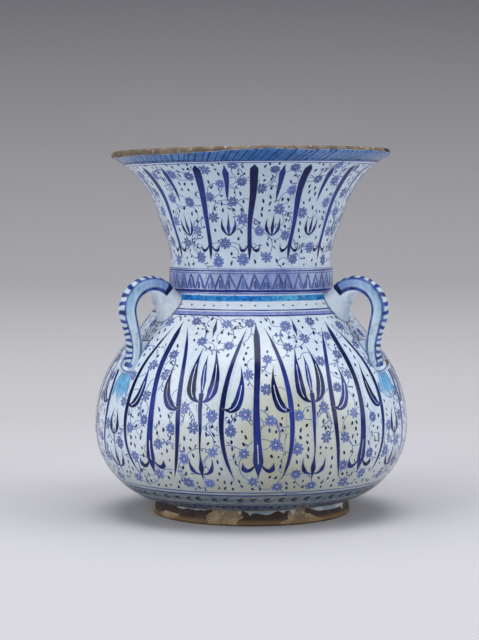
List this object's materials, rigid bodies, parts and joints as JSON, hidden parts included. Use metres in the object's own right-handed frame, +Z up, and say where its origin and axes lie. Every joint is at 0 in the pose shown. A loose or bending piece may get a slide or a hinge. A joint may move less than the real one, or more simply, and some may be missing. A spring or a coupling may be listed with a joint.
{
  "type": "mosque lamp",
  "caption": "Ceramic mosque lamp: round belly on a low foot, collar and wide flaring neck, strap handles for hanging chains, and a lift-out glass oil cup with a wick.",
  "frame": {"origin": "middle of the foot ring's standing face", "axes": "+Z up along the lamp's axis, +X to the right and -Y towards the viewer, with one handle at +Y"},
  "size_m": [0.187, 0.187, 0.216],
  "materials": {
    "white_glaze": "glossy clear glaze over cobalt painting on a white slip",
    "collar_glaze": "glossy clear glaze over a cobalt wash",
    "handle_glaze": "glossy clear glaze over cobalt lines and bars",
    "bare_body": "bare fritware with runs of glaze",
    "cup_glass": "blown clear glass with a green tint",
    "holder_brass": "aged brass sheet",
    "wick_cotton": "braided cotton"
  },
  "bodies": {
    "lamp": {"foot_ring": "bare_body", "bowl": "white_glaze", "shoulder": "white_glaze", "collar": "collar_glaze", "neck": "white_glaze", "handle_left": "handle_glaze", "handle_right": "handle_glaze", "handle_back": "handle_glaze", "handle_root_left": "handle_glaze", "handle_root_right": "handle_glaze", "handle_root_back": "handle_glaze", "handle_wad_left": "handle_glaze", "handle_wad_right": "handle_glaze", "handle_wad_back": "handle_glaze"},
    "cup": {"oil_cup": "cup_glass"},
    "holder": {"wick_holder": "holder_brass"},
    "wick_rod": {"wick": "wick_cotton"}
  },
  "joints": [
    {"name": "cup_lift", "type": "slide", "parent": "lamp", "child": "cup", "axis": [0, 0, 1], "range_m": [0, 0.215]},
    {"name": "holder_lift", "type": "slide", "parent": "cup", "child": "holder", "axis": [0, 0, 1], "range_m": [0, 0.04]},
    {"name": "wick_feed", "type": "slide", "parent": "holder", "child": "wick_rod", "axis": [0, 0, 1], "range_m": [0, 0.012]}
  ]
}
